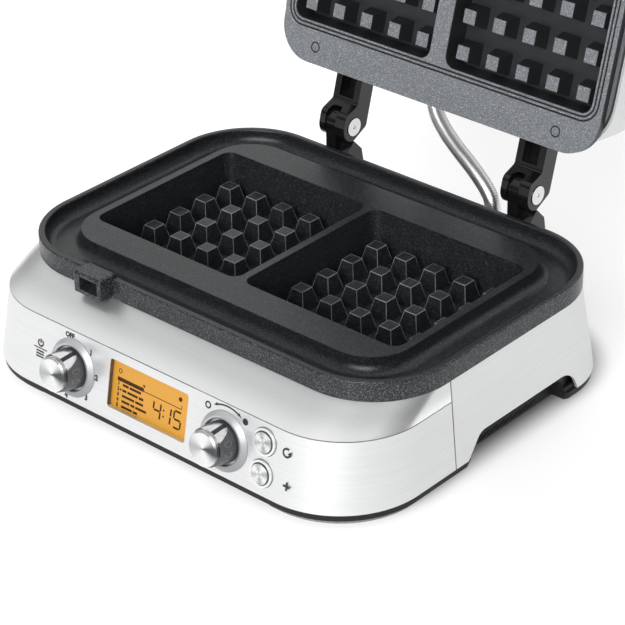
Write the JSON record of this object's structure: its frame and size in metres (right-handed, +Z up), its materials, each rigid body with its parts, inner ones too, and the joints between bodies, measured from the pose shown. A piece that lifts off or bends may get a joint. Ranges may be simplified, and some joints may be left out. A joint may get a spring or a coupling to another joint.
{
  "type": "waffle maker",
  "caption": "Countertop waffle maker with square stud pockets, an overflow moat, a hinged lid with latch and a console of turning knobs, push buttons and a display.",
  "frame": {"origin": "on the table, under the middle of the cooking plates", "axes": "+Z up, +X to the right seen from the console, the console faces -Y and the hinge is at +Y"},
  "size_m": [0.3036, 0.3538, 0.3315],
  "materials": {
    "brushed_steel": "brushed",
    "coated_aluminium": "matt non-stick coating",
    "black_plastic": "fine texture",
    "black_metal": "semi-gloss black",
    "bright_pin": "bright",
    "spun_cap": "spun",
    "satin_bezel": "satin",
    "foot_rubber": "matt",
    "conduit_steel": "wound strip",
    "element_steel": "heat dulled",
    "shield_sheet": "mill",
    "fuse_ceramic": "glazed",
    "display_glass": "polished",
    "display_amber": "back-lit",
    "board_green": "solder mask",
    "switch_plastic": "moulded"
  },
  "bodies": {
    "base": {"control_fascia": "brushed_steel", "top_deck": "brushed_steel", "rear_housing": "brushed_steel", "base_tray": "black_plastic", "foot_pads": "foot_rubber", "lower_cooking_plate": "coated_aluminium", "lower_heating_element": "element_steel", "lower_heat_shield": "shield_sheet", "temperature_sensor": "element_steel", "thermal_fuse": "fuse_ceramic", "rear_bridge": "black_plastic", "hinge_bracket_left": "black_metal", "hinge_bracket_right": "black_metal", "hinge_pin_left": "bright_pin", "hinge_pin_right": "bright_pin", "menu_bezel": "satin_bezel", "browning_bezel": "satin_bezel", "display_window": "display_glass", "display_module": "display_amber", "control_board": "board_green", "menu_switch": "switch_plastic", "browning_encoder": "switch_plastic", "restart_tact_switch": "switch_plastic", "extra_time_tact_switch": "switch_plastic", "button_ring_upper": "spun_cap", "button_ring_lower": "spun_cap", "power_board": "board_green", "terminal_block": "black_plastic", "cord_gland": "black_plastic", "conduit_gland_base": "black_plastic", "plate_screws": "bright_pin", "tray_screws": "bright_pin", "wiring_conduit": "conduit_steel"},
    "lid": {"upper_cooking_plate": "coated_aluminium", "upper_heating_element": "element_steel", "upper_heat_shield": "shield_sheet", "lid_sensor": "element_steel", "lid_frame": "black_plastic", "lid_cover": "brushed_steel", "hinge_arm_left": "black_metal", "hinge_arm_right": "black_metal", "handle_arms": "black_plastic", "lid_handle": "satin_bezel", "conduit_gland_lid": "black_plastic", "arm_screws": "bright_pin", "latch_pin": "bright_pin"},
    "latch": {"latch_lever": "black_plastic"},
    "menu_dial": {"menu_knob": "black_plastic", "menu_knob_cap": "spun_cap", "menu_pointer": "spun_cap", "menu_shaft": "bright_pin"},
    "browning_dial": {"browning_knob": "black_plastic", "browning_knob_cap": "spun_cap", "browning_pointer": "spun_cap", "browning_shaft": "bright_pin"},
    "restart": {"restart_button": "spun_cap"},
    "extra_time": {"extra_time_button": "spun_cap"}
  },
  "joints": [
    {"name": "lid_hinge", "type": "hinge", "parent": "base", "child": "lid", "pos_m": [0, 0.1127, 0.0881], "axis": [1, 0, 0], "range_deg": [0, 106], "deforming": ["wiring_conduit"]},
    {"name": "latch_hinge", "type": "hinge", "parent": "lid", "child": "latch", "pos_m": [-0.0654, 0.18349, 0.30052], "axis": [1, 0, 0], "range_deg": [0, 18]},
    {"name": "menu_turn", "type": "hinge", "parent": "base", "child": "menu_dial", "pos_m": [-0.0611, -0.13256, 0.02806], "axis": [0, 0.9818, -0.1901], "range_deg": [-34, 223.2]},
    {"name": "browning_turn", "type": "hinge", "parent": "base", "child": "browning_dial", "pos_m": [0.0572, -0.13256, 0.02806], "axis": [0, 0.9818, -0.1901], "continuous": true},
    {"name": "restart_press", "type": "slide", "parent": "base", "child": "restart", "axis": [0, 0.9818, -0.1901], "range_m": [0, 0.0015], "stiffness_N_per_m": 400, "springref_m": -0.0004},
    {"name": "extra_time_press", "type": "slide", "parent": "base", "child": "extra_time", "axis": [0, 0.9818, -0.1901], "range_m": [0, 0.0015], "stiffness_N_per_m": 400, "springref_m": -0.0004}
  ]
}
